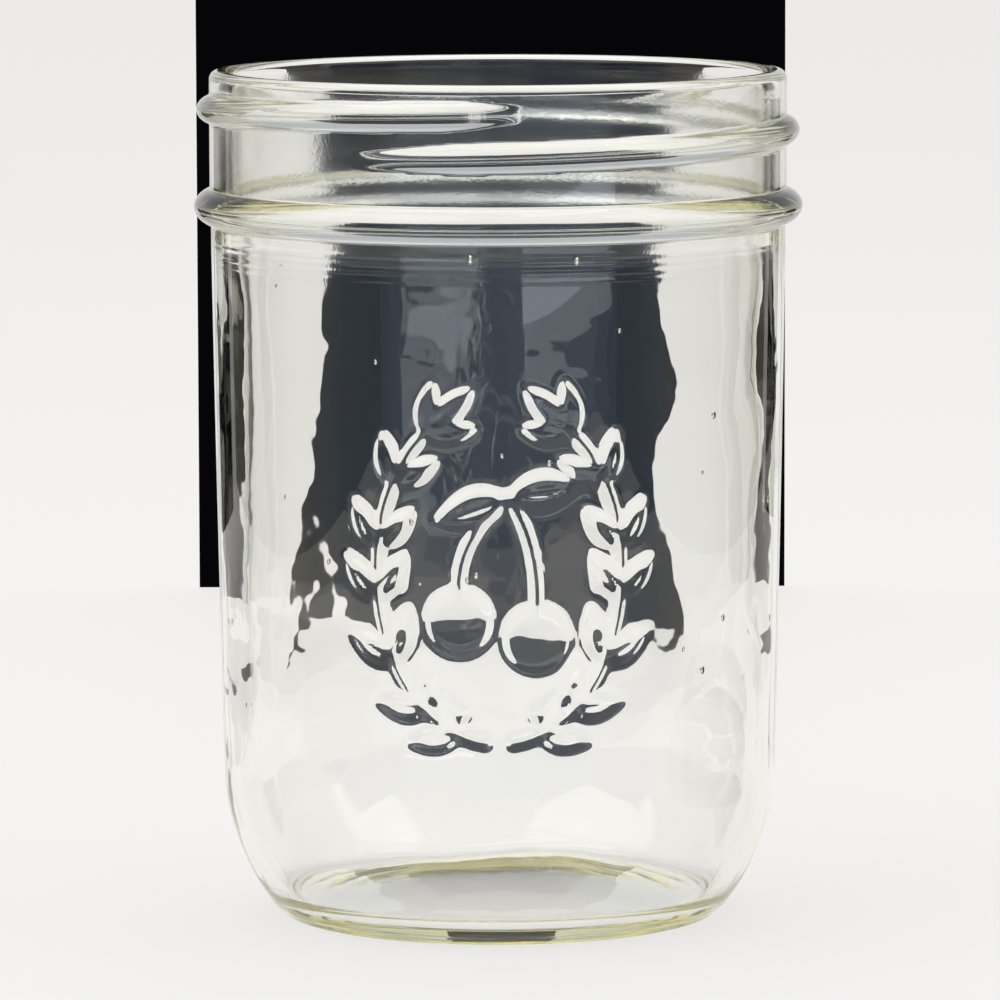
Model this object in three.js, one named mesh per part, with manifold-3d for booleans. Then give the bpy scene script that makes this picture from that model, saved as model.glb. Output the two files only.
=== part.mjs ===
// A wide-mouth canning jar standing open, with its screw band and its lid set down beside it, upturned.
// Millimetres, +Z up. The origin is the centre of the ring that the jar stands on, and -Y is the front.
// Angles run counter-clockwise from the front, seen from above.

import * as THREE from 'three';
import { mergeVertices } from 'three/addons/utils/BufferGeometryUtils.js';
import Module from 'manifold-3d';

// Driving dimensions of the glass
const jarHeight = 121.6; // standing ring to the top of the rim
const mouthRadius = 38.1; // clear bore of the mouth
const mouthWall = 3.2; // glass between the bore and the outside that carries the thread
const rimRound = 1.2; // rounding on both sides of the flat sealing land
const threadPitch = 6; // rise of the ridge in one turn
const threadRise = 1.85; // crest of the ridge above the mouth wall
const threadWidth = 4.8; // height of the bell-shaped ridge at its foot
const threadTopDrop = 3.95; // rim to the middle of the ridge where it ends
const threadStart = -30; // degrees, where the lower end begins
const threadSweep = 395; // degrees that the ridge runs round the mouth
const threadTaper = 28; // degrees over which both ends run out into the wall
const beadDrop = 19.4; // rim to the middle of the bead
const beadRise = 2.3; // bead beyond the mouth wall
const beadHeight = 5.1;
const shoulderInset = 0.15; // body just under the bead, inside the outside of the mouth wall
const bodyTaper = 1.5; // the body is this much smaller in radius where the heel begins
const bodyWall = 3;
const heelHeight = 21.5; // standing ring to the start of the heel
const heelRound = 1.6; // small rounding where the heel meets the standing ring
const heelInset = 9.05; // outside of the body to the standing ring
const standWidth = 3.4; // flat of the standing ring
const pushUp = 3.2; // height of the hollow under the base at its centre
const baseThickness = 3; // glass at the centre of the base
const floorCrown = 2.6; // the floor inside is this much higher at its centre than at its edge
const innerFillet = 6; // rounding between the floor and the heel inside

// Driving dimensions of the closure
const bandSheet = 0.35;
const bandThreadClearance = 0.5; // band's inner wall to the crest of the glass thread
const bandCrestClearance = 0.7; // band's rolled thread to the mouth wall
const bandThreadWidth = 2.9;
const bandThreadSweep = 330; // degrees
const bandCorner = 1.6; // inner rounding between the lip and the skirt
const bandHem = 1.1; // radius of the rolled edge
const bandBeadGap = 0.8; // rolled edge to the bead when the closure is screwed down
const lipReach = 0.7; // the band's lip reaches in past the bore of the mouth
const lidSheet = 0.3;
const lidClearance = 0.3; // lid's edge to the rolled thread that it passes
const lidCurl = 1; // width and height of the turned edge
const lidPanelInset = 1.2; // mouth bore to the edge of the sealing channel
const lidPanelStep = 0.9; // centre panel beyond the sealing channel
const lidButtonRadius = 24.5; // round button in the centre panel
const lidButtonDepth = 0.45;
const sealThickness = 0.9;
const sealClearance = 0.3; // sealing ring to both sides of its channel
const parkingGap = 50; // jar to closure, on the table

// Facets round the jar and round the closure, and the distance under which two corners are one
const jarFacets = 64;
const closureFacets = 48;
const weldDistance = 1e-4;

const turn = 2 * Math.PI;
const radians = THREE.MathUtils.degToRad;
const degrees = THREE.MathUtils.radToDeg;

// Radii of the glass, from the mouth down
const finishRadius = mouthRadius + mouthWall; // where the thread stands on the mouth wall
const shoulderRadius = finishRadius - shoulderInset;
const footRadius = shoulderRadius - bodyTaper;
const standOuter = footRadius - heelInset;
const standInner = standOuter - standWidth;

// The heel is two arcs: a small one off the standing ring and a large one that ends upright at the wall
const heelUp = heelHeight - heelRound;
const heelArc = (heelInset ** 2 + heelUp ** 2 - heelRound ** 2) / (2 * (heelInset - heelRound));
const heelCentre = footRadius - heelArc;

// Heights and radii that several pieces share
const threadCrest = finishRadius + threadRise;
const beadMiddle = jarHeight - beadDrop;
const closureTop = sealThickness + lidSheet + bandSheet; // rim to the outside of the band's lip
const bandHeight = closureTop + beadDrop - beadHeight / 2 - bandBeadGap;
const skirtRadius = threadCrest + bandThreadClearance; // inside of the band's skirt
const bandCrest = finishRadius + bandCrestClearance; // inside of the band's rolled thread
const bandReach = skirtRadius + bandSheet + bandHem;
const jarReach = finishRadius + Math.max(beadRise, threadRise);
const closureX = jarReach + parkingGap + bandReach;
const lipRadius = mouthRadius - lipReach; // opening in the band's lip
const lidRadius = bandCrest - lidClearance;
const channelOuter = lidRadius - lidCurl;
const channelInner = mouthRadius - lidPanelInset;

const steps = (count, make) => Array.from({ length: count + 1 }, (_, i) => make(i / count));
const point = (r, z) => new THREE.Vector2(r, z);

// Arc in the profile plane about (r, z), from one angle to another in degrees from the outward direction.
function arc(r, z, radius, from, to, count) {
  return steps(count, (t) => {
    const a = radians(from + (to - from) * t);
    return point(r + radius * Math.cos(a), z + radius * Math.sin(a));
  });
}

// A profile turned about the Z axis, with its first facet edge at the front.
function turned(profile, facets) {
  return new THREE.LatheGeometry(profile, facets).rotateX(Math.PI / 2);
}

function heelProfile() {
  const meet = degrees(Math.atan2(-heelUp, heelArc - heelInset));
  return [
    ...arc(standOuter, heelRound, heelRound, -90, meet, 3),
    ...arc(heelCentre, heelHeight, heelArc, meet, 0, 6).slice(1),
  ];
}

// Inside, the heel runs along the outer one at the wall's thickness and meets the floor in a fillet.
function innerHeelProfile(floorZ) {
  const inner = heelArc - bodyWall;
  const filletZ = floorZ + innerFillet;
  const out = Math.sqrt((inner - innerFillet) ** 2 - (heelHeight - filletZ) ** 2);
  const lean = degrees(Math.atan2(filletZ - heelHeight, out));
  return [
    ...arc(heelCentre, heelHeight, inner, 0, lean, 5),
    ...arc(heelCentre + out, filletZ, innerFillet, lean, -90, 5).slice(1),
  ];
}

// A wave of glass standing out from the mouth wall, half a cosine from its lower edge to its upper one.
function beadProfile() {
  return steps(8, (t) => {
    const r = finishRadius + beadRise * Math.sin(Math.PI * t);
    return point(r, beadMiddle + beadHeight * (t - 0.5));
  });
}

// Jar wall from the hollow under the base, up the outside, over the rim and down the inside to the floor.
function jarProfile() {
  const rimZ = jarHeight - rimRound;
  const floorZ = pushUp + baseThickness - floorCrown;
  const underside = steps(4, (t) => point(standInner * t, pushUp * (1 - t * t)));
  const rim = [
    ...arc(finishRadius - rimRound, rimZ, rimRound, 0, 90, 3),
    ...arc(mouthRadius + rimRound, rimZ, rimRound, 90, 180, 3),
  ];
  const innerHeel = innerHeelProfile(floorZ);
  const inside = [
    point(mouthRadius, beadMiddle),
    point(shoulderRadius - bodyWall, beadMiddle - beadHeight),
    ...innerHeel,
  ];
  const floorEdge = innerHeel.at(-1).x;
  const floor = steps(3, (t) => point(floorEdge * (1 - t), floorZ + floorCrown * t * (2 - t))).slice(1);
  const shoulder = point(shoulderRadius, beadMiddle - beadHeight / 2);
  return [...underside, ...heelProfile(), shoulder, ...beadProfile(), ...rim, ...inside, ...floor];
}

// The thread: a bell-shaped ridge wound up the mouth wall, which sinks into the wall at both ends.
function threadRidge() {
  const rootDepth = 1; // how deep the ridge is rooted in the wall
  const footDepth = 0.2; // the foot of the bell lies this far under the surface
  const tipWidth = 0.4; // share of the ridge's width that is left at its ends
  const sweep = radians(threadSweep);
  const count = Math.ceil((sweep / turn) * jarFacets);
  const bell = steps(6, (t) => ({ lift: Math.sin(Math.PI * t) ** 2, side: t - 0.5 }));
  const vertices = [];
  const faces = [];
  for (let i = 0; i <= count; i++) {
    const along = (sweep * i) / count;
    const angle = radians(threadStart) + along;
    const full = THREE.MathUtils.smoothstep(Math.min(along, sweep - along), 0, radians(threadTaper));
    const middle = jarHeight - threadTopDrop - (threadPitch * (sweep - along)) / turn;
    const width = threadWidth * (tipWidth + (1 - tipWidth) * full);
    const place = (r, side) => {
      vertices.push(r * Math.sin(angle), -r * Math.cos(angle), middle + width * side);
    };
    place(finishRadius - rootDepth, -0.5);
    for (const { lift, side } of bell) {
      place(finishRadius - footDepth * (2 - full) + (threadRise + footDepth) * lift * full, side);
    }
    place(finishRadius - rootDepth, 0.5);
  }
  const size = bell.length + 2;
  for (let i = 0; i < count; i++) {
    for (let k = 0; k < size; k++) {
      const a = i * size + k;
      const b = i * size + ((k + 1) % size);
      faces.push(a, a + size, b, b, a + size, b + size);
    }
  }
  const last = count * size;
  for (let k = 1; k < size - 1; k++) {
    faces.push(0, k, k + 1);
    faces.push(last, last + k + 1, last + k);
  }
  const ridge = new THREE.BufferGeometry();
  ridge.setAttribute('position', new THREE.Float32BufferAttribute(vertices, 3));
  ridge.setIndex(faces);
  return ridge;
}

const wasm = await Module();
wasm.setup();

function solid(geometry) {
  const bare = geometry.clone();
  bare.deleteAttribute('normal');
  bare.deleteAttribute('uv');
  const merged = mergeVertices(bare, weldDistance);
  return new wasm.Manifold(
    new wasm.Mesh({
      numProp: 3,
      vertProperties: new Float32Array(merged.attributes.position.array),
      triVerts: new Uint32Array(merged.index.array),
    }),
  );
}

function geometryOf(manifold) {
  const { vertProperties, triVerts } = manifold.getMesh();
  const geometry = new THREE.BufferGeometry();
  geometry.setAttribute('position', new THREE.BufferAttribute(vertProperties, 3));
  geometry.setIndex(new THREE.BufferAttribute(triVerts, 1));
  return geometry;
}

function glassJar() {
  const wall = solid(turned(jarProfile(), jarFacets));
  return geometryOf(wall.add(solid(threadRidge())));
}

// How far the band's rolled thread is pressed inwards at an angle and a height over the lip.
// With the closure screwed down it lies half a pitch under the glass thread, which has the same hand.
function rolledThread(angle, z) {
  const depth = skirtRadius - bandCrest;
  const sweep = radians(bandThreadSweep);
  const start = closureTop + threadTopDrop + threadPitch / 2;
  let pressed = 0;
  for (let along = angle; along <= sweep; along += turn) {
    const off = (z - start - (threadPitch * along) / turn) / (bandThreadWidth / 2);
    const toEnd = Math.min(along, sweep - along);
    const full = THREE.MathUtils.smoothstep(toEnd, 0, radians(threadTaper));
    if (Math.abs(off) < 1) pressed = Math.max(pressed, depth * full * Math.cos((Math.PI / 2) * off) ** 2);
  }
  return pressed;
}

// Upturned band: lip on the table, skirt rising from it, rolled edge on top.
function screwBand() {
  const outside = skirtRadius + bandSheet;
  const corner = bandCorner + bandSheet;
  const hemZ = bandHeight - bandHem;
  const skirtTop = hemZ - bandHem;
  const rows = 11;
  const profile = [
    point(lipRadius, 0),
    ...arc(outside - corner, corner, corner, -90, 0, 4),
    ...steps(rows, (t) => point(outside, corner + (skirtTop - corner) * t)).slice(1),
    ...arc(outside, hemZ, bandHem, -90, 90, 6).slice(1),
    point(skirtRadius, bandHeight),
    ...steps(rows, (t) => point(skirtRadius, skirtTop + (corner - skirtTop) * t)),
    ...arc(skirtRadius - bandCorner, corner, bandCorner, 0, -90, 4).slice(1),
    point(lipRadius, bandSheet),
    point(lipRadius, 0),
  ];
  const band = turned(profile, closureFacets);
  const at = band.attributes.position;
  for (let i = 0; i < at.count; i++) {
    const r = Math.hypot(at.getX(i), at.getY(i));
    const z = at.getZ(i);
    if (r < skirtRadius - bandSheet || z > skirtTop) continue;
    const angle = (Math.atan2(at.getX(i), -at.getY(i)) + turn) % turn;
    const pressed = (r - rolledThread(angle, z)) / r;
    at.setXY(i, at.getX(i) * pressed, at.getY(i) * pressed);
  }
  return band;
}

// Upturned lid: turned edge, sealing channel, centre panel with a pressed button.
function lidDisc() {
  const panelZ = bandSheet + lidPanelStep;
  const buttonZ = panelZ - lidButtonDepth;
  const under = [
    point(0, buttonZ),
    point(lidButtonRadius - lidButtonDepth, buttonZ),
    point(lidButtonRadius, panelZ),
    point(channelInner - lidPanelStep, panelZ),
    point(channelInner, bandSheet),
    point(channelOuter, bandSheet),
    point(lidRadius, bandSheet + lidCurl),
  ];
  const over = under.map(({ x, y }) => point(x, y + lidSheet)).reverse();
  return turned([...under, ...over], closureFacets);
}

// Sealing compound in the lid's channel, with a rounded upper side.
function sealingRing() {
  const bottom = bandSheet + lidSheet;
  const inner = channelInner + sealClearance;
  const outer = channelOuter - sealClearance;
  const crown = sealThickness / 3; // height of the rounding on the upper edges
  return turned(
    [
      point(inner, bottom),
      point(outer, bottom),
      point(outer, bottom + sealThickness - crown),
      point(outer - crown, bottom + sealThickness),
      point(inner + crown, bottom + sealThickness),
      point(inner, bottom + sealThickness - crown),
      point(inner, bottom),
    ],
    closureFacets,
  );
}

function piece(name, geometry, finish) {
  const mesh = new THREE.Mesh(geometry, new THREE.MeshStandardMaterial(finish));
  mesh.name = name;
  return mesh;
}

const clearGlass = { color: '#e4e6d3', roughness: 0.04, metalness: 0, transparent: true, opacity: 0.35 };
const tinplate = { color: '#c8c6c0', roughness: 0.28, metalness: 1 };
const lacquer = { color: '#d9d2bd', roughness: 0.35, metalness: 0.4 };
const compound = { color: '#8c4a3a', roughness: 0.6, metalness: 0 };

const closure = new THREE.Group();
closure.position.x = closureX;
closure.add(
  piece('screw_band', screwBand(), tinplate),
  piece('lid_disc', lidDisc(), lacquer),
  piece('sealing_ring', sealingRing(), compound),
);

const canningJar = new THREE.Group();
canningJar.add(piece('glass_jar', glassJar(), clearGlass), closure);

export default canningJar;
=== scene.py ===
import bpy
import numpy as np
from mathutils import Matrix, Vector


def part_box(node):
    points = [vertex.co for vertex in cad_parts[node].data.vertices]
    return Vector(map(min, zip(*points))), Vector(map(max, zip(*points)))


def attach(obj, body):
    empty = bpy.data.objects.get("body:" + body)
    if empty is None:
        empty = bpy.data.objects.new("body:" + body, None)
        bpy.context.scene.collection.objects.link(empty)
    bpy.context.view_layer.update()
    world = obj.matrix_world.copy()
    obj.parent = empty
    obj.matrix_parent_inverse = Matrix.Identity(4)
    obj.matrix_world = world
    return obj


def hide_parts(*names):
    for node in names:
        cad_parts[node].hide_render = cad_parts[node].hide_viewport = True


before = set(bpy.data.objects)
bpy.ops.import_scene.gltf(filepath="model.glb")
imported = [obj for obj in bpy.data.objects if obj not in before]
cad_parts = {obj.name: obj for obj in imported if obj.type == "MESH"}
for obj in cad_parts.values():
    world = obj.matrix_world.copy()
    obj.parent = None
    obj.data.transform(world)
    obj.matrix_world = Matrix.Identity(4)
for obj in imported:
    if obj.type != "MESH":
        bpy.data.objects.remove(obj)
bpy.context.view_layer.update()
mm = 0.001


def nodeBox(node):
    # lowest and highest corner of a solid, in millimetres
    return [np.array(corner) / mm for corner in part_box(node)]


# What the frame fixes: the jar's height and reach, and where the closure lies
jarReach, _, jarHeight = nodeBox("glass_jar")[1]
bandLow, bandHigh = nodeBox("screw_band")
lidLow, lidHigh = nodeBox("lid_disc")
sealLow, sealHigh = nodeBox("sealing_ring")
closureX = (bandLow[0] + bandHigh[0]) / 2


def arc(r, z, radius, start, end, count):
    # points of a circle about (r, z), from one angle to the other, 0 outwards and 90 up
    a = np.radians(np.linspace(start, end, count))
    return np.stack([r + radius * np.cos(a), z + radius * np.sin(a)], 1)


def straight(first, last, count):
    # evenly spaced points from first to last, without the last one
    return np.linspace(first, last, count, endpoint=False)


def smooth(x, low, high):
    # smoothstep: 0 below low, 1 above high, 3t^2 - 2t^3 between
    t = np.clip((x - low) / (high - low), 0, 1)
    return t * t * (3 - 2 * t)


def hump(x, middle, half):
    # cos^2 hump: 1 at the middle, 0 from half a width away
    return np.cos(np.pi / 2 * np.clip((x - middle) / half, -1, 1)) ** 2


def turned(r, z, angles, centreX=0):
    # surface of revolution: x = r sin a, y = -r cos a, z, one row for each profile point
    a = np.radians(angles)[None, :]
    x = centreX + r * np.sin(a)
    y = -r * np.cos(a)
    return np.stack([x, y, np.broadcast_to(z, x.shape)], -1)


def ringFaces(points, closed):
    # rows run along the profile, columns round the axis; a closed profile joins its last row to its first,
    # an open one starts and ends in a single corner on the axis
    rows, columns = points.shape[:2]
    ids = np.arange(rows * columns).reshape(rows, columns)
    if closed:
        ids = np.concatenate([ids, ids[:1]])
    else:
        ids[0] = ids[0, 0]
        ids[-1] = ids[-1, 0]
    beside = np.roll(ids, -1, axis=1)
    quads = np.stack([ids[:-1], beside[:-1], beside[1:], ids[1:]], -1)
    if closed:
        return quads.reshape(-1), np.full(quads.size // 4, 4)
    middle = quads[1:-1].reshape(-1)
    corners = np.concatenate([quads[0][:, [0, 2, 3]].ravel(), middle, quads[-1][:, [0, 1, 2]].ravel()])
    return corners, np.repeat([3, 4, 3], [columns, middle.size // 4, columns])


def ringMesh(name, grids, closed, paint=None):
    # one mesh of turned grids; paint holds attributes, one number for each point of the first grid, and the
    # other grids get 0
    corners, sizes, places = [], [], []
    for points in grids:
        gridCorners, gridSizes = ringFaces(points, closed)
        corners.append(gridCorners + sum(len(spot) for spot in places))
        sizes.append(gridSizes)
        places.append(points.reshape(-1, 3))
    sizes = np.concatenate(sizes)
    used, corners = np.unique(np.concatenate(corners), return_inverse=True)
    mesh = bpy.data.meshes.new(name)
    mesh.vertices.add(len(used))
    mesh.vertices.foreach_set("co", (np.concatenate(places)[used] * mm).ravel())
    mesh.loops.add(len(corners))
    mesh.loops.foreach_set("vertex_index", corners.ravel())
    mesh.polygons.add(len(sizes))
    mesh.polygons.foreach_set("loop_start", np.cumsum(sizes) - sizes)
    mesh.polygons.foreach_set("use_smooth", np.ones(len(sizes), bool))
    for key, values in (paint or {}).items():
        shade = np.zeros(sum(len(spot) for spot in places))
        shade[:len(places[0])] = np.broadcast_to(values, grids[0].shape[:2]).ravel()
        layer = mesh.attributes.new(key, "FLOAT", "POINT")
        layer.data.foreach_set("value", shade[used])
    mesh.update(calc_edges=True)
    mesh.validate()
    piece = bpy.data.objects.new(name, mesh)
    bpy.context.scene.collection.objects.link(piece)
    print(name, len(used), "corners,", int((sizes - 2).sum()), "triangles")
    return piece


# Materials

def linear(code):
    # sRGB hex code to linear light, as the shaders count it
    s = np.array([int(code[i:i + 2], 16) for i in (1, 3, 5)]) / 255
    return tuple(np.where(s <= 0.04045, s / 12.92, ((s + 0.055) / 1.055) ** 2.4)) + (1.0,)


def perMillimetre(size):
    # texture scale that makes one cell of a pattern that size, for Object coordinates in metres
    return 1 / (size * mm)


def addNode(tree, kind, inputs=None, output=None, **settings):
    # one shader node with its settings; an input is a value, or a socket to link from.
    # Gives the output of that name, or the node itself where none is named
    node = tree.nodes.new("ShaderNode" + kind)
    for key, value in settings.items():
        setattr(node, key, value)
    for key, value in (inputs or {}).items():
        if isinstance(value, bpy.types.NodeSocket):
            tree.links.new(value, node.inputs[key])
        else:
            node.inputs[key].default_value = value
    return node.outputs[output] if output else node


def newMaterial(name):
    # an empty node material and its tree
    material = bpy.data.materials.new(name)
    material.use_nodes = True
    material.node_tree.nodes.clear()
    return material, material.node_tree


glass = dict(
    ior=1.52, tint="#e9e6b7", tintDensity=18, polished=0.012, scuffed=0.1, plungerHaze=0.07,
    peel=0.5, peelDepth=0.005, ripple=8, rippleDepth=0.07, dimpleShare=0.22,
)


def sodaLimeGlass():
    # Soda-lime glass, pressed at the mouth and blown below it. Fire-polished and clear, with a yellow-olive
    # cast that grows with the depth of glass, an orange-peel skin inside the mouth where the plunger was,
    # ripples and dimples on the blown inside, and fine scuffs on the bead and the standing ring.
    material, tree = newMaterial("sodaLimeGlass")
    place = addNode(tree, "TexCoord", output="Object")
    pressed, blown, worn = (
        addNode(tree, "Attribute", output="Fac", attribute_name=name)
        for name in ("pressed", "blown", "worn"))
    peel = addNode(tree, "TexNoise", {
        "Vector": place, "Scale": perMillimetre(glass["peel"]), "Detail": 1.0}, "Fac")
    ripple = addNode(tree, "TexNoise", {
        "Vector": place, "Scale": perMillimetre(glass["ripple"]), "Detail": 1.0,
        "Roughness": glass["dimpleShare"], "Lacunarity": 3.0}, "Fac")
    # heights in millimetres, each where its attribute lets it
    plunger = addNode(tree, "Math", {0: pressed, 1: glass["peelDepth"]}, "Value", operation="MULTIPLY")
    breath = addNode(tree, "Math", {0: blown, 1: glass["rippleDepth"]}, "Value", operation="MULTIPLY")
    height = addNode(tree, "Math", {0: ripple, 1: breath}, "Value", operation="MULTIPLY")
    height = addNode(tree, "Math", {0: peel, 1: plunger, 2: height}, "Value", operation="MULTIPLY_ADD")
    skin = addNode(tree, "Bump", {"Height": height, "Strength": 1.0, "Distance": mm}, "Normal")
    rubbed = addNode(tree, "MapRange", {"Value": peel, "From Min": 0.5, "From Max": 0.68}, "Result")
    rubbed = addNode(tree, "Math", {0: rubbed, 1: worn}, "Value", operation="MULTIPLY")
    rough = addNode(tree, "MapRange", {
        "Value": rubbed, "To Min": glass["polished"], "To Max": glass["scuffed"]}, "Result")
    rough = addNode(tree, "Math", {
        0: pressed, 1: glass["plungerHaze"], 2: rough}, "Value", operation="MULTIPLY_ADD")
    body = addNode(tree, "BsdfPrincipled", {
        "Base Color": (1, 1, 1, 1), "Transmission Weight": 1.0, "IOR": glass["ior"],
        "Roughness": rough, "Normal": skin}, "BSDF")
    depth = addNode(tree, "VolumeAbsorption", {
        "Color": linear(glass["tint"]), "Density": glass["tintDensity"]}, "Volume")
    addNode(tree, "OutputMaterial", {"Surface": body, "Volume": depth})
    return material


tin = dict(
    bright="#dfddd8", dull="#bdbab2", rub="#ebe9e4", streak=0.35, streakLength=22, cloud=15, mottle=0.4,
    scuff=1.6, scuffShare=0.35, roughLow=0.15, roughHigh=0.28, streakDepth=0.003,
)


def tinplate():
    # Tin-plated steel sheet, rolled and spun: a bright grey metal with fine streaks round the band from the
    # rolls, faint cloudy patches where the tin is duller, and rubbed edges
    material, tree = newMaterial("tinplate")
    place = addNode(tree, "TexCoord", output="Object")
    across, worn = (
        addNode(tree, "Attribute", output="Fac", attribute_name=name) for name in ("across", "worn"))
    level = addNode(tree, "SeparateXYZ", {"Vector": place})
    stretch = tin["streak"] / tin["streakLength"]
    x, y = (
        addNode(tree, "Math", {0: level.outputs[axis], 1: stretch}, "Value", operation="MULTIPLY")
        for axis in "XY")
    rolled = addNode(tree, "CombineXYZ", {"X": x, "Y": y, "Z": across}, "Vector")
    streak = addNode(tree, "TexNoise", {
        "Vector": rolled, "Scale": perMillimetre(tin["streak"]), "Detail": 3.0, "Roughness": 0.6}, "Fac")
    cloud = addNode(tree, "TexNoise", {
        "Vector": place, "Scale": perMillimetre(tin["cloud"]), "Detail": 4.0}, "Fac")
    scuff = addNode(tree, "TexVoronoi", {
        "Vector": rolled, "Scale": perMillimetre(tin["scuff"])}, "Distance", feature="DISTANCE_TO_EDGE")
    line = addNode(tree, "MapRange", {
        "Value": scuff, "From Min": 0.0, "From Max": 0.05,
        "To Min": tin["scuffShare"], "To Max": 0.0}, "Result")
    mottle = addNode(tree, "MapRange", {
        "Value": cloud, "From Min": 0.35, "From Max": 0.7, "To Max": tin["mottle"]}, "Result")
    dulled = addNode(tree, "Math", {0: mottle, 1: line}, "Value", operation="MAXIMUM")
    shade = addNode(tree, "Mix", {
        "Factor": dulled, "A": linear(tin["bright"]), "B": linear(tin["dull"])}, "Result", data_type="RGBA")
    rubbed = addNode(tree, "Mix", {
        "Factor": worn, "A": shade, "B": linear(tin["rub"])}, "Result", data_type="RGBA")
    grain = addNode(tree, "Math", {0: streak, 1: mottle}, "Value", operation="ADD")
    rough = addNode(tree, "MapRange", {
        "Value": grain, "From Min": 0.3, "From Max": 1.2,
        "To Min": tin["roughLow"], "To Max": tin["roughHigh"]}, "Result")
    skin = addNode(tree, "Bump", {
        "Height": streak, "Strength": 0.5, "Distance": tin["streakDepth"] * mm}, "Normal")
    body = addNode(tree, "BsdfPrincipled", {
        "Base Color": rubbed, "Metallic": 1.0, "Roughness": rough, "Normal": skin}, "BSDF")
    addNode(tree, "OutputMaterial", {"Surface": body})
    return material


lacquer = dict(
    warm="#d8cfb4", thin="#c3b99c", metal="#cbc8c0", cloud=14, peel=0.7, peelDepth=0.006, speck=0.9,
    roughLow=0.26, roughHigh=0.4, coat=0.3, coatRough=0.18,
)


def foodLacquer():
    # Epoxy food lacquer stoved on tinplate: cream-gold and satin, faintly uneven in depth, with a fine
    # orange-peel skin and specks, and rubbed through to the tin at the turned edge
    material, tree = newMaterial("foodLacquer")
    place = addNode(tree, "TexCoord", output="Object")
    worn = addNode(tree, "Attribute", output="Fac", attribute_name="worn")
    cloud = addNode(tree, "TexNoise", {
        "Vector": place, "Scale": perMillimetre(lacquer["cloud"]), "Detail": 3.0}, "Fac")
    depth = addNode(tree, "MapRange", {"Value": cloud, "From Min": 0.35, "From Max": 0.7}, "Result")
    speck = addNode(tree, "TexVoronoi", {
        "Vector": place, "Scale": perMillimetre(lacquer["speck"])}, "Distance")
    dot = addNode(tree, "MapRange", {
        "Value": speck, "From Min": 0.06, "From Max": 0.12, "To Min": 0.5, "To Max": 0.0}, "Result")
    patch = addNode(tree, "Math", {0: depth, 1: dot}, "Value", operation="MAXIMUM")
    shade = addNode(tree, "Mix", {
        "Factor": patch, "A": linear(lacquer["warm"]), "B": linear(lacquer["thin"])},
        "Result", data_type="RGBA")
    bare = addNode(tree, "Math", {0: worn, 1: cloud}, "Value", operation="MULTIPLY")
    rub = addNode(tree, "MapRange", {"Value": bare, "From Min": 0.42, "From Max": 0.55}, "Result")
    colour = addNode(tree, "Mix", {
        "Factor": rub, "A": shade, "B": linear(lacquer["metal"])}, "Result", data_type="RGBA")
    rough = addNode(tree, "MapRange", {
        "Value": cloud, "From Min": 0.3, "From Max": 0.7,
        "To Min": lacquer["roughLow"], "To Max": lacquer["roughHigh"]}, "Result")
    peel = addNode(tree, "TexNoise", {
        "Vector": place, "Scale": perMillimetre(lacquer["peel"]), "Detail": 1.0}, "Fac")
    skin = addNode(tree, "Bump", {
        "Height": peel, "Strength": 0.6, "Distance": lacquer["peelDepth"] * mm}, "Normal")
    body = addNode(tree, "BsdfPrincipled", {
        "Base Color": colour, "Metallic": rub, "Roughness": rough, "Normal": skin,
        "Coat Weight": lacquer["coat"], "Coat Roughness": lacquer["coatRough"]}, "BSDF")
    addNode(tree, "OutputMaterial", {"Surface": body})
    return material


compound = dict(
    deep="#7d3f31", pale="#a05a48", flow=6, pore=0.45, poreDepth=0.012, roughLow=0.48, roughHigh=0.66,
)


def plastisol():
    # Plastisol flowed into the channel and cured: brick-coloured, soft and matt, with flow marks and pores
    material, tree = newMaterial("plastisol")
    place = addNode(tree, "TexCoord", output="Object")
    flow = addNode(tree, "TexNoise", {
        "Vector": place, "Scale": perMillimetre(compound["flow"]), "Detail": 4.0, "Distortion": 0.6}, "Fac")
    share = addNode(tree, "MapRange", {"Value": flow, "From Min": 0.3, "From Max": 0.7}, "Result")
    shade = addNode(tree, "Mix", {
        "Factor": share, "A": linear(compound["deep"]), "B": linear(compound["pale"])},
        "Result", data_type="RGBA")
    rough = addNode(tree, "MapRange", {
        "Value": flow, "From Min": 0.3, "From Max": 0.7,
        "To Min": compound["roughLow"], "To Max": compound["roughHigh"]}, "Result")
    pore = addNode(tree, "TexNoise", {
        "Vector": place, "Scale": perMillimetre(compound["pore"]), "Detail": 2.0}, "Fac")
    skin = addNode(tree, "Bump", {
        "Height": pore, "Strength": 0.7, "Distance": compound["poreDepth"] * mm}, "Normal")
    body = addNode(tree, "BsdfPrincipled", {"Base Color": shade, "Roughness": rough, "Normal": skin}, "BSDF")
    addNode(tree, "OutputMaterial", {"Surface": body})
    return material


# The jar

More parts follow.
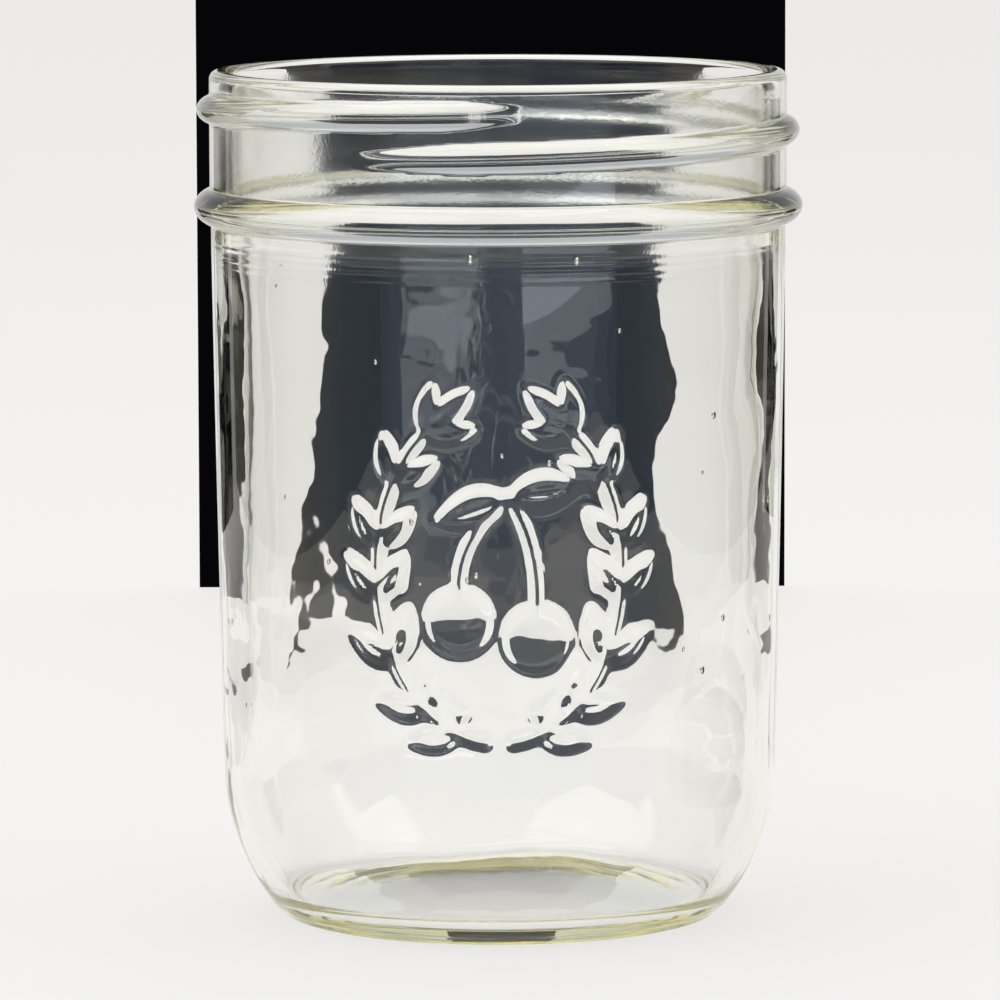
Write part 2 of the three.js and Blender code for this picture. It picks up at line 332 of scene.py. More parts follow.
jar = dict(
    mouthRadius=38.1, rimRound=1.2,
    threadPitch=6, threadRise=1.85, threadWidth=4.1, threadTopDrop=3.95, threadStart=-30, threadSweep=395,
    startTaper=26, endTaper=16, endWidth=0.55,
    beadDrop=19.4, beadRise=2.3, beadHeight=5.1, ridgeRound=0.6, ridgeFoot=0.22,
    shoulderInset=0.15, bodyTaper=1.5, bodyBarrel=0.1, shoulderWall=3.7, heelWall=2.4,
    heelHeight=21.5, heelRound=1.6, heelInset=9.05, heelFineTurn=10, standWidth=3.4,
    partingHeight=1.25, partingInset=0.3, partingWidth=0.25,
    pushUp=3.2, baseThickness=2.5, floorCrown=2.6, innerFillet=5,
    ringDrops=(23.8, 25, 26.1, 27.1), ringRises=(0.04, 0.026, 0.036, 0.022), ringHalf=0.55, ringMargin=1,
    ringWaves=6,
    seamAngles=(-90, 90), seamHalf=0.4, seamRise=0.09, seamFade=4,
    waveDepth=0.26, waveCount=24, wavesRound=(2, 13), waveSlant=0.16, seed=7,
    blownTop=(88, 100), pressedFrom=(90, 99), calmFloor=(8, 26), beadWear=(0.3, 1.2), standWear=(0.2, 1.4),
)

# how finely the jar is cut: rows along each stretch of its profile, and steps in degrees round it
jarRows = dict(
    underside=12, stand=3, heelCorner=8, heelLow=16, heelHigh=20,
    foot=3, relief=140, shoulder=7, rings=28, bead=30, mouth=66, rim=8,
    bore=14, funnel=5, wall=34, innerHeel=9, fillet=8, floor=9,
)
jarColumns = dict(
    frontHalf=34, frontStep=0.56, backStep=4, easing=18, seamStep=0.45, seamCore=1, seamEasing=9,
    samples=7201,
)


def ridge(off):
    # section of a pressed ridge for off from -1 to 1: nearly half an ellipse, with a small hollow at its foot
    crest = (1 - np.clip(off, -1, 1) ** 2) ** jar["ridgeRound"]
    return crest ** 2 * (1 + jar["ridgeFoot"]) / (crest + jar["ridgeFoot"])


def jarProfile():
    # wall from the middle of the underside up the outside, over the rim and down the inside to the floor;
    # gives r and z of each row, the number of rows outside, and the row where the body begins
    finish = jarReach - jar["beadRise"]
    shoulder = finish - jar["shoulderInset"]
    foot = shoulder - jar["bodyTaper"]
    standOuter = foot - jar["heelInset"]
    standInner = standOuter - jar["standWidth"]
    beadMiddle = jarHeight - jar["beadDrop"]
    beadLow = beadMiddle - jar["beadHeight"] / 2
    beadHigh = beadMiddle + jar["beadHeight"] / 2
    ringLow = jarHeight - jar["ringDrops"][-1] - jar["ringMargin"]
    across = foot - standOuter
    up = jar["heelHeight"] - jar["heelRound"]
    large = (across ** 2 + up ** 2 - jar["heelRound"] ** 2) / (2 * (across - jar["heelRound"]))
    heelR, heelZ = foot - large, jar["heelHeight"]
    meet = np.degrees(np.arctan2(-up, large - across))
    easier = meet + jar["heelFineTurn"]
    rimZ = jarHeight - jar["rimRound"]
    floorZ = jar["pushUp"] + jar["baseThickness"] - jar["floorCrown"]
    t = np.linspace(0, 1, jarRows["underside"], endpoint=False)
    underside = np.stack([standInner * t, jar["pushUp"] * (1 - t * t)], 1)
    stand = straight((standInner, 0), (standOuter, 0), jarRows["stand"])
    heel = np.concatenate([
        arc(standOuter, jar["heelRound"], jar["heelRound"], -90, meet, jarRows["heelCorner"])[:-1],
        arc(heelR, heelZ, large, meet, easier, jarRows["heelLow"])[:-1],
        arc(heelR, heelZ, large, easier, 0, jarRows["heelHigh"])[:-1]])
    # below the parting line of the base mould the heel stands back a little
    partingLow = jar["partingHeight"] - jar["partingWidth"]
    heel[:, 0] -= jar["partingInset"] * (1 - smooth(heel[:, 1], partingLow, jar["partingHeight"]))
    climb = np.concatenate([
        straight(heelZ, relief["low"], jarRows["foot"]),
        straight(relief["low"], relief["high"], jarRows["relief"]),
        straight(relief["high"], ringLow, jarRows["shoulder"]),
        straight(ringLow, beadLow, jarRows["rings"])])
    share = (climb - heelZ) / (beadLow - heelZ)
    body = np.stack([foot + (shoulder - foot) * share + jar["bodyBarrel"] * np.sin(np.pi * share), climb], 1)
    off = np.sin(np.radians(np.linspace(-90, 90, jarRows["bead"])))
    bead = np.stack([finish + jar["beadRise"] * ridge(off), beadMiddle + jar["beadHeight"] / 2 * off], 1)
    mouth = straight((finish, beadHigh), (finish, rimZ), jarRows["mouth"])[1:]
    rim = np.concatenate([
        arc(finish - jar["rimRound"], rimZ, jar["rimRound"], 0, 90, jarRows["rim"]),
        arc(jar["mouthRadius"] + jar["rimRound"], rimZ, jar["rimRound"], 90, 180, jarRows["rim"])])
    # inside, the heel runs along the outer one at the wall's thickness and meets the floor in a fillet
    inner = large - jar["heelWall"]
    filletZ = floorZ + jar["innerFillet"]
    filletR = heelR + np.sqrt((inner - jar["innerFillet"]) ** 2 - (heelZ - filletZ) ** 2)
    lean = np.degrees(np.arctan2(filletZ - heelZ, filletR - heelR))
    innerShoulder = (shoulder - jar["shoulderWall"], beadMiddle - jar["beadHeight"])
    inside = np.concatenate([
        straight((jar["mouthRadius"], rimZ), (jar["mouthRadius"], beadMiddle), jarRows["bore"])[1:],
        straight((jar["mouthRadius"], beadMiddle), innerShoulder, jarRows["funnel"]),
        straight(innerShoulder, (foot - jar["heelWall"], heelZ), jarRows["wall"]),
        arc(heelR, heelZ, inner, 0, lean, jarRows["innerHeel"])[:-1],
        arc(filletR, filletZ, jar["innerFillet"], lean, -90, jarRows["fillet"])])
    t = np.linspace(0, 1, jarRows["floor"])[1:]
    floor = np.stack([filletR * (1 - t), floorZ + jar["floorCrown"] * t * (2 - t)], 1)
    outside = np.concatenate([underside, stand, heel, body, bead, mouth, rim])
    profile = np.concatenate([outside, inside, floor])
    return profile[:, :1], profile[:, 1:], len(outside), len(underside) + len(stand) + len(heel)


def threadLift(angles, z):
    # right-hand ridge: its middle climbs one pitch a turn, and both ends run out and narrow
    lift = np.zeros(np.broadcast_shapes(angles.shape, z.shape))
    first = (angles - jar["threadStart"]) % 360
    for along in (first, first + 360):
        full = smooth(along, 0, jar["startTaper"]) * smooth(jar["threadSweep"] - along, 0, jar["endTaper"])
        middle = jarHeight - jar["threadTopDrop"] - jar["threadPitch"] * (jar["threadSweep"] - along) / 360
        width = jar["endWidth"] + (1 - jar["endWidth"]) * full
        off = (z - middle) / (jar["threadWidth"] / 2) / width
        lift = np.maximum(lift, jar["threadRise"] * full * ridge(off))
    return lift


def waves(angles, z, count, seed):
    # blown-glass unevenness: a sum of sines with whole waves round the jar and random slants and phases
    pick = np.random.default_rng(seed)
    total = np.zeros(np.broadcast_shapes(angles.shape, z.shape))
    for _ in range(count):
        around = pick.integers(*jar["wavesRound"])
        upright = pick.normal(0, jar["waveSlant"])
        phase = pick.uniform(0, 2 * np.pi)
        total += np.sin(around * np.radians(angles) + upright * z + phase) / np.sqrt(around)
    return total / np.sqrt(count)


relief = dict(
    low=25, high=84, middle=54, halfWidth=17.5, halfHeight=24, firstAngle=-84, lastAngle=58, stemPoints=26,
    stemHalf=0.85, rise=0.68, edge=0.85, dome=0.45, softening=2,
    leaves=7, firstLeaf=2, leafLength=8.6, leafHalf=1.95, leafLean=36, leafBelly=0.8,
    veinHalf=0.35, veinDepth=0.45, veinFrom=(0.02, 0.12), veinTo=(0.75, 0.95),
    berryRadius=1.45, berryOffset=2.9,
    cherryRadius=4.9, cherries=((-5.6, -7.0), (5.2, -9.4)), knot=(1.2, 10.6),
    stalkSeat=0.9, stalkBend=(1.05, 0.45), stalkPoints=9,
    cherryLeaf=11.5, cherryLeafWider=1.5, cherryLeafHeadings=(200, 8),
)


def strokeLift(u, v, path, half):
    # rounded stroke: cos of the distance to the nearest stretch of the path, over half the stroke's width
    first, span = path[:-1], np.diff(path, axis=0)
    offset = np.stack([u, v], -1)[..., None, :] - first
    along = np.clip((offset * span).sum(-1) / (span ** 2).sum(-1), 0, 1)
    apart = np.linalg.norm(offset - along[..., None] * span, axis=-1).min(-1)
    return relief["rise"] * np.cos(np.pi / 2 * np.clip(apart / half, 0, 1))


def leafLift(u, v, base, heading, length, half):
    # almond: half its width goes as sin along its length; a flat top with rounded edges, and a grooved vein
    heading = np.radians(heading)
    along = ((u - base[0]) * np.cos(heading) + (v - base[1]) * np.sin(heading)) / length
    across = (v - base[1]) * np.cos(heading) - (u - base[0]) * np.sin(heading)
    width = half * np.sin(np.pi * np.clip(along, 0, 1) ** relief["leafBelly"])
    plate = smooth(width - np.abs(across), 0, relief["edge"])
    reach = smooth(along, *relief["veinFrom"]) * (1 - smooth(along, *relief["veinTo"]))
    vein = relief["veinDepth"] * np.exp(-(across / relief["veinHalf"]) ** 2) * reach
    return relief["rise"] * plate * (1 - vein)


def domeLift(u, v, centre, radius):
    # round fruit: a disc with rounded edges that swells towards its middle as 1 - d^2
    apart = np.hypot(u - centre[0], v - centre[1])
    swell = 1 - relief["dome"] * np.clip(apart / radius, 0, 1) ** 2
    return relief["rise"] * smooth(radius - apart, 0, relief["edge"]) * swell


def fruitRelief(u, v):
    # an open wreath of leaves round a pair of cherries, raised from the wall: the highest of all its strokes
    u, v = np.broadcast_arrays(u, v - relief["middle"])
    lifts = []
    turn = np.radians(np.linspace(relief["firstAngle"], relief["lastAngle"], relief["stemPoints"]))
    for side in (-1, 1):
        stem = np.stack([side * relief["halfWidth"] * np.cos(turn), relief["halfHeight"] * np.sin(turn)], 1)
        lifts.append(strokeLift(u, v, stem, relief["stemHalf"]))
        steps = np.diff(stem, axis=0)
        headings = np.degrees(np.arctan2(steps[:, 1], steps[:, 0]))
        places = np.linspace(relief["firstLeaf"], len(steps) - 1, relief["leaves"]).astype(int)
        sprouts = [
            (stem[place], headings[place] + lean * relief["leafLean"])
            for place in places for lean in (-1, 1)]
        for base, heading in sprouts + [(stem[-1], headings[-1])]:
            lifts.append(leafLift(u, v, base, heading, relief["leafLength"], relief["leafHalf"]))
        for place in (places[:-1] + places[1:]) // 2:
            beside = np.radians(headings[place] + 90 * side)
            berry = stem[place] + relief["berryOffset"] * np.array([np.cos(beside), np.sin(beside)])
            lifts.append(domeLift(u, v, berry, relief["berryRadius"]))
    knot = np.array(relief["knot"])
    t = np.linspace(0, 1, relief["stalkPoints"])[:, None]
    for cherry in relief["cherries"]:
        top = np.array(cherry) + (0, relief["cherryRadius"] * relief["stalkSeat"])
        bend = np.array((top[0], knot[1])) * relief["stalkBend"]
        stalk = (1 - t) ** 2 * top + 2 * t * (1 - t) * bend + t ** 2 * knot
        lifts.append(strokeLift(u, v, stalk, relief["stemHalf"]))
        lifts.append(domeLift(u, v, cherry, relief["cherryRadius"]))
    for heading in relief["cherryLeafHeadings"]:
        wide = relief["leafHalf"] * relief["cherryLeafWider"]
        lifts.append(leafLift(u, v, knot, heading, relief["cherryLeaf"], wide))
    lift = np.maximum.reduce(lifts)
    for _ in range(relief["softening"]):
        lift[1:-1] = (lift[:-2] + 2 * lift[1:-1] + lift[2:]) / 4
        lift[:, 1:-1] = (lift[:, :-2] + 2 * lift[:, 1:-1] + lift[:, 2:]) / 4
    return lift


seeds = dict(
    placed=((-5.7, 97.4), (16.1, 97.1), (19.9, 100.6)), more=22, low=30, high=96, radius=0.34, spread=0.3,
    stretch=1.5, depth=1.3, seed=11, rows=7, columnStep=36,
)


def seedBubbles():
    # air seeds: small upright ellipsoids in the middle of the wall, wound so that the glass lies outside them
    pick = np.random.default_rng(seeds["seed"])
    placed = np.array(seeds["placed"])
    angles = np.concatenate([placed[:, 0], pick.uniform(0, 360, seeds["more"])])
    heights = np.concatenate([placed[:, 1], pick.uniform(seeds["low"], seeds["high"], seeds["more"])])
    sizes = seeds["radius"] * (1 + seeds["spread"] * pick.uniform(-1, 1, len(angles)))
    reach = jarReach - jar["beadRise"] - jar["shoulderInset"] - jar["bodyTaper"] - seeds["depth"]
    t = np.radians(np.linspace(90, -90, seeds["rows"]))[:, None]
    a = np.radians(np.arange(0, 360, seeds["columnStep"]))[None, :]
    ball = np.stack([np.cos(t) * np.sin(a), -np.cos(t) * np.cos(a), np.sin(t) * seeds["stretch"] + 0 * a], -1)
    turn = np.radians(angles)
    centres = np.stack([reach * np.sin(turn), -reach * np.cos(turn), heights], -1)
    return [centre + size * ball for centre, size in zip(centres, sizes)]


def columnAngles():
    # columns round the jar: close at the front for the relief and on the seams, and gradually wider between,
    # each where the running sum of 1 / step reaches the next whole number
    a = np.linspace(-180, 180, jarColumns["samples"])
    eased = smooth(np.abs(a), jarColumns["frontHalf"], jarColumns["frontHalf"] + jarColumns["easing"])
    step = jarColumns["frontStep"] + (jarColumns["backStep"] - jarColumns["frontStep"]) * eased
    for seam in jar["seamAngles"]:
        eased = smooth(np.abs(a - seam), jarColumns["seamCore"], jarColumns["seamEasing"])
        step = jarColumns["seamStep"] + (step - jarColumns["seamStep"]) * eased
    running = np.concatenate([[0], np.cumsum(np.diff(a) / step[1:])])
    return np.interp(np.linspace(0, running[-1], round(running[-1]), endpoint=False), running, a)[None, :]


def glassJar():
    # the turned wall, with what stands out of it: thread, rings, seams and relief outside, blown waves inside
    angles = columnAngles()
    r, z, outsideEnd, bodyStart = jarProfile()
    rows = np.arange(len(r))[:, None]
    outer = (rows >= bodyStart) & (rows < outsideEnd)
    inner = rows >= outsideEnd
    beadMiddle = jarHeight - jar["beadDrop"]
    beadLow = beadMiddle - jar["beadHeight"] / 2
    lift = threadLift(angles, z)
    uneven = 1 + waves(angles, z * 0, jar["ringWaves"], jar["seed"] + 1)
    for drop, rise in zip(jar["ringDrops"], jar["ringRises"]):
        lift = lift + rise * uneven * hump(z, jarHeight - drop, jar["ringHalf"])
    for seam in jar["seamAngles"]:
        off = (angles - seam) / jar["seamHalf"]
        lift = lift + jar["seamRise"] * np.exp(-off ** 2) * smooth(beadLow - z, 0, jar["seamFade"])
    r = r + np.where(outer, lift, 0)
    front = outer[:, 0] & (z[:, 0] > relief["low"]) & (z[:, 0] < relief["high"])
    facing = np.abs(angles[0]) < jarColumns["frontHalf"]
    r[np.ix_(front, facing)] += fruitRelief(np.radians(angles[:, facing]) * r[front][:, :1], z[front])
    blown = np.where(inner, 1 - smooth(z, *jar["blownTop"]), 0)
    calm = blown * smooth(z, *jar["calmFloor"])
    r = r + jar["waveDepth"] * calm * waves(angles, z, jar["waveCount"], jar["seed"])
    rubbed = np.maximum(
        1 - smooth(np.abs(z - beadMiddle), *jar["beadWear"]), 1 - smooth(z, *jar["standWear"]))
    return ringMesh("jar_glass", [turned(r, z, angles[0])] + seedBubbles(), False, {
        "pressed": np.where(inner, smooth(z, *jar["pressedFrom"]), 0), "blown": blown,
        "worn": np.where(inner | (rows == 0), 0, rubbed)})


# The closure lies upturned on the table: the band on its lip, and in it the lid with its seal

closureStep = 1.5
closureRound = np.arange(0, 360, closureStep)[None, :]

band = dict(
    sheet=0.35, corner=1.6, hem=1.1, lipRadius=37.4,
    crest=42.0, threadStart=8.5, threadPitch=6, threadWidth=2.9, threadSweep=330, threadTaper=28,
    hemWear=0.55, hemWearOut=(0.5, 0.9), hemWearUp=(-0.6, 0.4), threadWear=0.5,
)
bandRows = dict(lipRound=8, lip=12, corner=9, skirt=44, hem=16, hemInside=9, inside=46)


def lengthAlong(profile):
    # distance along a profile from its first point, in metres
    steps = np.linalg.norm(np.diff(profile, axis=0), axis=1)
    return np.concatenate([[0], np.cumsum(steps)])[:, None] * mm


def screwBand():
    # closed section of the sheet: under the lip, up the outside, round the rolled edge and down the inside;
    # the rolled thread is a cos^2 groove that climbs one pitch a turn
    height = bandHigh[2]
    outside = bandHigh[0] - closureX - band["hem"]
    skirt = outside - band["sheet"]
    corner = band["corner"] + band["sheet"]
    hemZ = height - band["hem"]
    skirtTop = hemZ - band["hem"]
    half = band["sheet"] / 2
    lip = band["lipRadius"] + half
    over = np.radians(np.linspace(90, 180, bandRows["hemInside"]))[1:]
    profile = np.concatenate([
        arc(lip, half, half, 90, 270, bandRows["lipRound"])[:-1],
        straight((lip, 0), (outside - corner, 0), bandRows["lip"]),
        arc(outside - corner, corner, corner, -90, 0, bandRows["corner"])[:-1],
        straight((outside, corner), (outside, skirtTop), bandRows["skirt"]),
        arc(outside, hemZ, band["hem"], -90, 90, bandRows["hem"]),
        np.stack([outside + band["sheet"] * np.cos(over), hemZ + band["hem"] * np.sin(over)], 1),
        straight((skirt, hemZ), (skirt, corner), bandRows["inside"])[1:],
        arc(skirt - band["corner"], corner, band["corner"], 0, -90, bandRows["corner"])[:-1],
        straight((skirt - band["corner"], band["sheet"]), (lip, band["sheet"]), bandRows["lip"])])
    r, z = profile[:, :1], profile[:, 1:]
    along = closureRound % 360
    toEnd = np.minimum(along, band["threadSweep"] - along)
    middle = band["threadStart"] + band["threadPitch"] * along / 360
    groove = smooth(toEnd, 0, band["threadTaper"]) * hump(z, middle, band["threadWidth"] / 2)
    onSkirt = (r > skirt - band["sheet"]) & (z < skirtTop)
    hemEdge = smooth(r - outside, *band["hemWearOut"]) * smooth(z - hemZ, *band["hemWearUp"])
    threadEdge = groove * onSkirt * (r < skirt + half)
    worn = np.maximum(band["hemWear"] * hemEdge, band["threadWear"] * threadEdge)
    r = r - np.where(onSkirt, (skirt - band["crest"]) * groove, 0)
    points = turned(r, z, closureRound[0], closureX)
    return ringMesh("band_sheet", [points], True, {"across": lengthAlong(profile), "worn": worn})


lid = dict(
    sheet=0.3, curl=1, curlEase=0.3, curlRise=1.6, curlSpan=0.6, edgeRound=0.02, edgeWear=(-0.8, -0.1),
    channelInner=36.9, channelSlope=(-1.3, 0.3), panelRise=0.9, stepSpan=(-2, 1),
    buttonRadius=24.5, buttonSlope=(-0.9, 0.3), buttonDepth=0.45, buttonDome=0.18,
    ribs=(27.6, 30.2, 32.8), ribHalf=0.9, ribRise=0.16,
)
lidRows = dict(button=14, step=16, panel=60, channel=5, curl=12, edge=4)


def lidDisc():
    # the sheet's height over the radius: button, centre panel with coined ribs, sealing channel, turned edge
    reach = lidHigh[0] - closureX
    button, channel = lid["buttonRadius"], lid["channelInner"]
    channelOuter = reach - lid["curl"]
    curlStart = channelOuter - lid["curlSpan"]
    before, after = lid["stepSpan"]
    r = np.concatenate([
        straight(0, button + before, lidRows["button"]),
        straight(button + before, button + after, lidRows["step"]),
        straight(button + after, channel + before, lidRows["panel"]),
        straight(channel + before, channel + after, lidRows["step"]),
        straight(channel + after, curlStart, lidRows["channel"]),
        np.linspace(curlStart, reach, lidRows["curl"])])
    height = lidLow[2] + lid["panelRise"] * (1 - smooth(r - channel, *lid["channelSlope"]))
    height = height - lid["buttonDepth"] * (1 - smooth(r - button, *lid["buttonSlope"]))
    height = height + lid["buttonDome"] * np.clip(1 - (r / button) ** 2, 0, 1)
    for rib in lid["ribs"]:
        height = height + lid["ribRise"] * hump(r, rib, lid["ribHalf"])
    turnUp = np.clip((r - channelOuter + lid["curlEase"]) / (lid["curl"] + lid["curlEase"]), 0, 1)
    height = height + lid["curl"] * turnUp ** lid["curlRise"]
    under = np.stack([r, height], 1)
    edge = arc(reach, height[-1] + lid["sheet"] / 2, lid["edgeRound"], -60, 60, lidRows["edge"])
    over = np.stack([r, height + lid["sheet"]], 1)[::-1]
    profile = np.concatenate([under, edge, over])
    profile[:, 0] = np.minimum(profile[:, 0], reach)
    points = turned(profile[:, :1], profile[:, 1:], closureRound[0], closureX)
    worn = smooth(profile[:, :1] - reach, *lid["edgeWear"])
    return ringMesh("lid_sheet", [points], False, {"worn": worn})


seal = dict(crown=0.42, squareness=0.55, shoulder=0.8, ripple=0.05, waves=(3, 7, 11), phases=(0.4, 1.9, 4.1))
sealRows = dict(floor=6, side=3, arch=26)


def sealingRing():
    # flowed-in ring: flat in its channel, its upper side an arch that swells and sinks a little round the lid
    reach = sealHigh[0] - closureX
    gap = lidHigh[0] - closureX - lid["curl"] - reach
    inner = lid["channelInner"] + gap
    low, high = sealLow[2], sealHigh[2]
    t = np.linspace(0, np.pi, sealRows["arch"])
    across = np.sign(np.cos(t)) * np.abs(np.cos(t)) ** seal["squareness"]
    arch = np.stack([
        (inner + reach) / 2 + (reach - inner) / 2 * across,
        high - seal["crown"] + seal["crown"] * np.sin(t) ** seal["shoulder"]], 1)
    profile = np.concatenate([
        straight((inner, low), (reach, low), sealRows["floor"]),
        straight((reach, low), arch[0], sealRows["side"]), arch,
        straight(arch[-1], (inner, low), sealRows["side"])[1:]])
    r, z = profile[:, :1], profile[:, 1:]
    turn = np.radians(closureRound)
    swell = sum(np.sin(k * turn + phase) for k, phase in zip(seal["waves"], seal["phases"]))
    swell = swell / len(seal["waves"])
    z = z - seal["ripple"] * (0.5 + 0.5 * swell) * (z - low) / (high - low)
    return ringMesh("seal_ring", [turned(r, z, closureRound[0], closureX)], True)


for piece, node, body, slot, finish in (
        (glassJar(), "glass_jar", "jar", "clear_glass", sodaLimeGlass()),
        (screwBand(), "screw_band", "band", "tinplate", tinplate()),
        (lidDisc(), "lid_disc", "lid", "lacquered_tinplate", foodLacquer()),
        (sealingRing(), "sealing_ring", "lid", "sealing_compound", plastisol())):
    piece.data.materials.append(finish)
    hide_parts(node)
    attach(piece, body)
print("jar, band, lid and seal made, with glass, tinplate, lacquer and plastisol")


# Floor, cards, lamps and camera

studio = dict(
    floorHalf=9000, floorLevel=-0.3, floorColour="#ecebe8", floorGlow="#fbfaf8", glowShare=0.72,
    skyFront="#5f6b7e", skyBack="#edecea", skyStrength=0.78, lampAim=(0, 0, 60),
)

# the sky's colours from the front on: axis that each goes by, where it starts and is full, and the colour
skyLayers = (
    ("Y", -0.8, -0.1, "#bdb8ad"), ("Y", 0.3, 0.95, studio["skyBack"]),
    ("Z", 0.04, 0.35, "#b2b6ba"), ("Z", 0.45, 0.9, "#f8f7f4"),
)

# colour and strength of the card papers
papers = dict(
    black=("#060608", 1), dayBlue=("#94a3b8", 1), duskBlue=("#717c8c", 1), paneBlue=("#d9e3f1", 2.6),
    wallGrey=("#8f897c", 1),
)

# cards that stand round the jar: first and last corner over the floor, lower and upper edge, paper, and
# whether the camera sees it
onFloor = studio["floorLevel"]
cards = dict(
    back=((-58.4, 378), (55.5, 378), onFloor, 230, "black", True),
    flagLeft=((-345, 345), (-205, 410), onFloor, 90, "black", False),
    flagRight=((250, 410), (345, 345), onFloor, 90, "black", False),
    sideLeft=((-400, -50), (-400, 350), onFloor, 95, "wallGrey", False),
    sideRight=((400, 350), (400, -50), onFloor, 95, "wallGrey", False),
    frontLeft=((-420, -400), (-400, -50), onFloor, 260, "duskBlue", False),
    frontRight=((400, -50), (420, -400), onFloor, 260, "duskBlue", False),
    front=((420, -400), (-420, -400), onFloor, 260, "dayBlue", False),
    pane=((400, -395), (63, -395), 45, 78, "paneBlue", False),
)

# softboxes: place, width and height, watts
lamps = dict(
    key=((-900, -500, 1100), (1700, 1700), 6),
    fill=((1000, -300, 700), (700, 1500), 2.2),
    top=((0, 350, 1300), (1200, 900), 4),
)


def stageSheet(name, points, material):
    # a plain sheet with four corners: points is a grid of places, two by two
    mesh = bpy.data.meshes.new(name)
    mesh.from_pydata((points.reshape(-1, 3) * mm).tolist(), [], [(0, 1, 3, 2)])
    mesh.materials.append(material)
    sheet = bpy.data.objects.new(name, mesh)
    bpy.context.scene.collection.objects.link(sheet)
    return sheet


def seenDirectly(tree):
    # 1 for what the camera, a reflection or the glass shows, 0 for what only lights the object
    path = addNode(tree, "LightPath")
    through = addNode(tree, "Math", {
        0: path.outputs["Is Glossy Ray"], 1: path.outputs["Is Transmission Ray"]},
        "Value", operation="MAXIMUM")
    return addNode(tree, "Math", {0: path.outputs["Is Camera Ray"], 1: through}, "Value", operation="MAXIMUM")


def paperFloor():
    # plain pale paper, wide enough to fill every view; where it is seen, part of it is drawn as plain white,
    # which keeps the shadow and adds no light to the object
    material, tree = newMaterial("floorPaper")
    paper = addNode(tree, "BsdfPrincipled", {
        "Base Color": linear(studio["floorColour"]), "Roughness": 0.6}, "BSDF")
    glow = addNode(tree, "Emission", {"Color": linear(studio["floorGlow"])}, "Emission")
    share = addNode(tree, "Math", {
        0: seenDirectly(tree), 1: studio["glowShare"]}, "Value", operation="MULTIPLY")
    body = addNode(tree, "MixShader", {"Fac": share, 1: paper, 2: glow}, "Shader")
    addNode(tree, "OutputMaterial", {"Surface": body})
    half = studio["floorHalf"]
    x, y = np.meshgrid([-half, half], [-half, half])
    stageSheet("floor", np.stack([x, y, np.full(x.shape, studio["floorLevel"])], -1), material)


def cardPaper(name):
    # unlit paper, clear from its back, so that a card hides nothing in views from behind it
    material, tree = newMaterial(name + "Card")
    shade, strength = papers[name]
    front = addNode(tree, "Emission", {"Color": linear(shade), "Strength": strength}, "Emission")
    behind = addNode(tree, "NewGeometry", output="Backfacing")
    clear = addNode(tree, "BsdfTransparent", output="BSDF")
    side = addNode(tree, "MixShader", {"Fac": behind, 1: front, 2: clear}, "Shader")
    addNode(tree, "OutputMaterial", {"Surface": side})
    return material


def studioCards():
    # what the glass shows: a black card behind it, black flags and grey cards at its sides for dark edges,
    # and blue-grey ones in front for soft reflections
    materials = {name: cardPaper(name) for name in papers}
    for name, (first, last, low, high, paper, seen) in cards.items():
        corners = np.array([[(*first, low), (*last, low)], [(*first, high), (*last, high)]], float)
        sheet = stageSheet(name + "Card", corners, materials[paper])
        sheet.visible_camera = seen
        sheet.visible_shadow = seen
        sheet.visible_diffuse = seen


def softboxes():
    # soft round lamps, all aimed at the middle of the jar
    for name, (place, size, power) in lamps.items():
        lamp = bpy.data.lights.new(name + "Softbox", "AREA")
        lamp.shape = "ELLIPSE"
        lamp.size, lamp.size_y = (side * mm for side in size)
        lamp.energy = power
        piece = bpy.data.objects.new(name + "Softbox", lamp)
        piece.location = np.array(place) * mm
        away = (np.array(studio["lampAim"]) - place) * mm
        piece.rotation_euler = Vector(away).to_track_quat("-Z", "Y").to_euler()
        bpy.context.scene.collection.objects.link(piece)


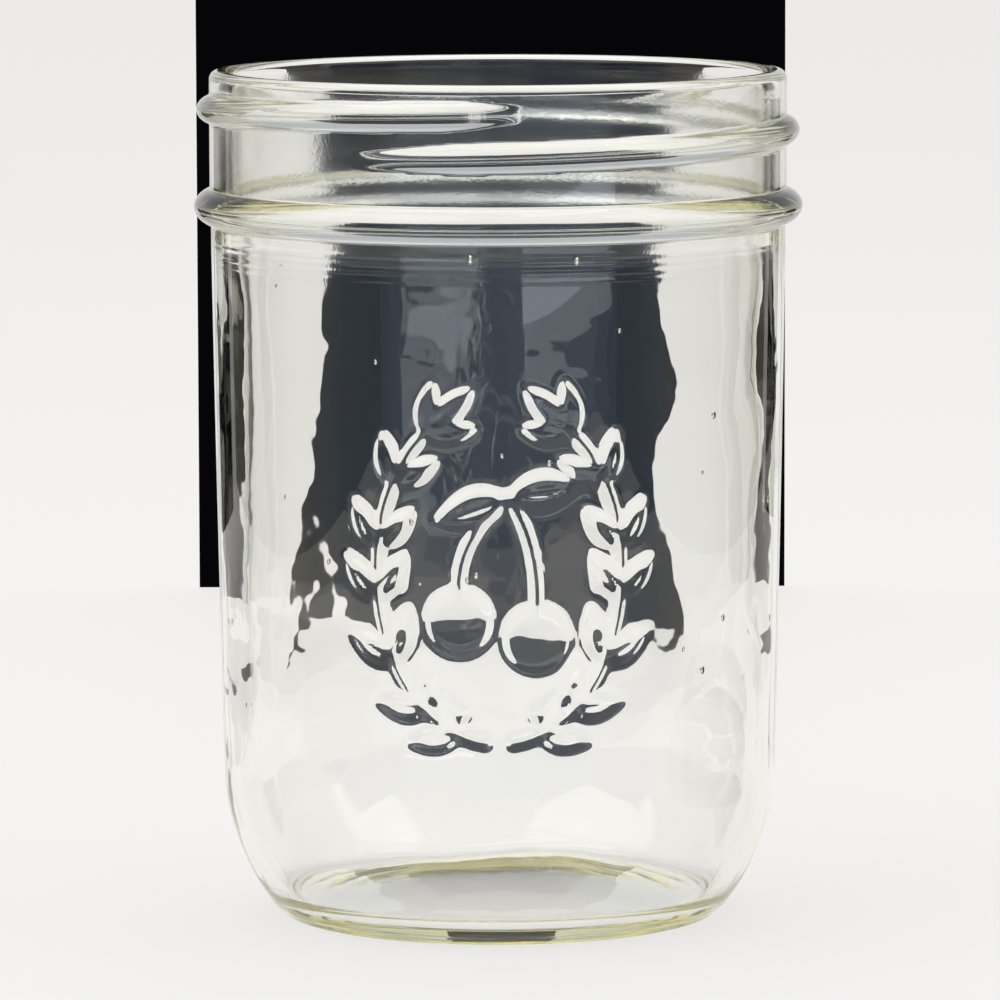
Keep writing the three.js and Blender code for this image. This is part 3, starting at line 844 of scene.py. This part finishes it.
def studioWorld():
    # a sky that goes from dusky in front to pale behind and above; the camera itself sees plain pale grey
    world = bpy.data.worlds.new("studio")
    world.use_nodes = True
    tree = world.node_tree
    tree.nodes.clear()
    towards = addNode(tree, "TexCoord", output="Generated")
    level = addNode(tree, "SeparateXYZ", {"Vector": towards})
    shade = linear(studio["skyFront"])
    for axis, start, full, colour in skyLayers:
        share = addNode(tree, "MapRange", {
            "Value": level.outputs[axis], "From Min": start, "From Max": full}, "Result",
            interpolation_type="SMOOTHSTEP")
        shade = addNode(tree, "Mix", {
            "Factor": share, "A": shade, "B": linear(colour)}, "Result", data_type="RGBA")
    camera = addNode(tree, "LightPath", output="Is Camera Ray")
    shown = addNode(tree, "Mix", {
        "Factor": camera, "A": shade, "B": linear(studio["skyBack"])}, "Result", data_type="RGBA")
    strength = addNode(tree, "MapRange", {
        "Value": seenDirectly(tree), "To Min": studio["skyStrength"], "To Max": 1.0}, "Result")
    sky = addNode(tree, "Background", {"Color": shown, "Strength": strength}, "Background")
    addNode(tree, "OutputWorld", {"Surface": sky})
    bpy.context.scene.world = world


view = dict(distance=1075, height=181.7, pitch=6.48, roll=-0.15, lens=270.6, sensor=36, aside=0.14)


def jarCamera():
    # a long lens, from a little above the rim and slightly downwards
    data = bpy.data.cameras.new("camera")
    data.lens = view["lens"]
    data.sensor_width = view["sensor"]
    camera = bpy.data.objects.new("camera", data)
    camera.location = (view["aside"] * mm, -view["distance"] * mm, view["height"] * mm)
    camera.rotation_mode = "ZXY"
    camera.rotation_euler = (np.radians(90 - view["pitch"]), 0, np.radians(view["roll"]))
    bpy.context.scene.collection.objects.link(camera)
    bpy.context.scene.camera = camera


paperFloor()
studioCards()
studioWorld()
softboxes()
jarCamera()
print("floor,", len(cards), "cards,", len(lamps), "lamps and camera set")

bpy.context.scene.view_settings.view_transform = "Standard"
lightBounces = 32  # enough for light that goes through all the walls of the jar and back
bpy.context.scene.cycles.max_bounces = lightBounces
bpy.context.scene.cycles.transmission_bounces = lightBounces
bpy.context.scene.cycles.glossy_bounces = lightBounces
